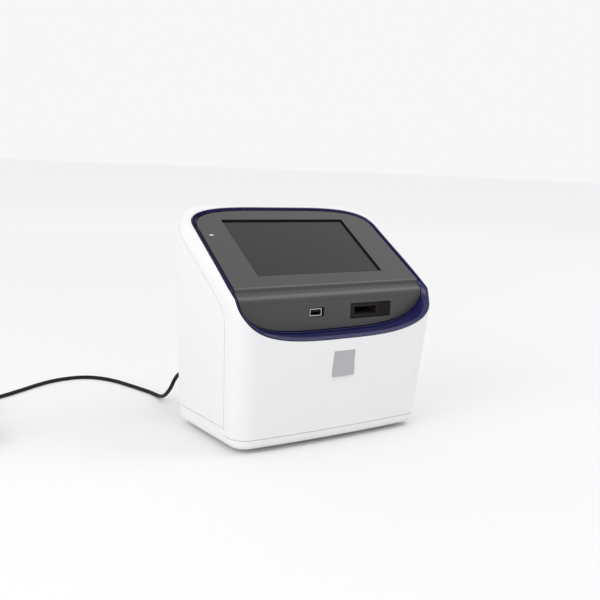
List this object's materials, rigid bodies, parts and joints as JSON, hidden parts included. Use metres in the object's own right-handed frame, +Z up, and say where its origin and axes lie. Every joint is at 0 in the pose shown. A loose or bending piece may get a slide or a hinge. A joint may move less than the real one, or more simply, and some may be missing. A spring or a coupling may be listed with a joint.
{
  "type": "automated cell counter",
  "caption": "Bench-top automated cell counter with a sloping touch display, front slide port and USB socket, inner focus stage, rear power switch and a supply lead with plug-in adapter.",
  "frame": {"origin": "on the bench under the middle of the casing's bounding box", "axes": "+Z up, -Y is the front with the display, +X to the right seen from the front"},
  "size_m": [0.4659, 0.3409, 0.2223],
  "materials": {
    "casing_white": "satin, fine texture",
    "trim_blue": "gloss",
    "bezel_grey": "satin",
    "plate_grey": "satin",
    "light_guide": "frosted",
    "screen_glass": "gloss",
    "panel_metal": "satin",
    "board": "satin",
    "black_plastic": "fine texture",
    "tongue_white": "satin",
    "carriage_grey": "satin",
    "frame_alu": "bead blasted",
    "lens": "gloss",
    "emitter": "satin",
    "rod_steel": "polished",
    "brass": "turned",
    "foot_rubber": "matte",
    "screw_steel": "satin",
    "cord_black": "matte",
    "gasket_foam": "matte"
  },
  "bodies": {
    "casing": {"front_shell": "casing_white", "left_side_panel": "casing_white", "right_side_panel": "casing_white", "rear_cover": "casing_white", "base_pan": "casing_white", "feet": "foot_rubber", "base_screws": "screw_steel", "trim_ring": "trim_blue", "display_bezel": "bezel_grey", "badge_plate": "plate_grey", "status_light_pipe": "light_guide", "touch_glass": "screen_glass", "lcd_panel": "panel_metal", "display_gasket": "gasket_foam", "display_bracket": "panel_metal", "display_board": "board", "bracket_screws": "screw_steel", "usb_shell": "screw_steel", "usb_tongue": "tongue_white", "port_board": "board", "slide_port_frame": "black_plastic", "slide_guide": "carriage_grey", "eject_spring": "screw_steel", "optics_frame": "frame_alu", "lamp_housing": "black_plastic", "condenser_lens": "lens", "lamp_board": "board", "led_emitter": "emitter", "focus_guide_rods": "rod_steel", "focus_motor": "screw_steel", "main_board": "board", "board_standoffs": "brass", "board_screws": "screw_steel", "power_switch_frame": "black_plastic", "dc_jack": "black_plastic", "dc_plug": "black_plastic", "plug_strain_relief": "cord_black", "dc_cord": "cord_black", "dc_cord_coil": "cord_black", "adapter_body": "black_plastic", "adapter_blades": "screw_steel", "adapter_strain_relief": "cord_black"},
    "slide_carriage": {"slide_carriage": "carriage_grey"},
    "focus_carriage": {"focus_carriage": "frame_alu", "objective_barrel": "black_plastic", "objective_lens": "lens", "camera_board": "board", "image_sensor": "black_plastic"},
    "focus_lead_screw": {"focus_lead_screw": "brass"},
    "power_rocker": {"power_rocker": "black_plastic"}
  },
  "joints": [
    {"name": "slide_push", "type": "slide", "parent": "casing", "child": "slide_carriage", "axis": [0, 1, 0], "range_m": [0, 0.008], "stiffness_N_per_m": 150, "springref_m": -0.002, "deforming": ["eject_spring"]},
    {"name": "focus_slide", "type": "slide", "parent": "casing", "child": "focus_carriage", "axis": [0, 0, 1], "range_m": [-0.004, 0.004]},
    {"name": "focus_screw_turn", "type": "hinge", "parent": "casing", "child": "focus_lead_screw", "pos_m": [0.0364, 0.024, 0.06], "axis": [0, 0, 1], "range_deg": [-720, 720]},
    {"name": "power_rocker_tilt", "type": "hinge", "parent": "casing", "child": "power_rocker", "pos_m": [-0.058, 0.06325, 0.045], "axis": [1, 0, 0], "range_deg": [-14, 0]}
  ],
  "couplings": [
    {"joint": "focus_screw_turn", "follows": "focus_slide", "rad_per_m": 3141.6}
  ]
}
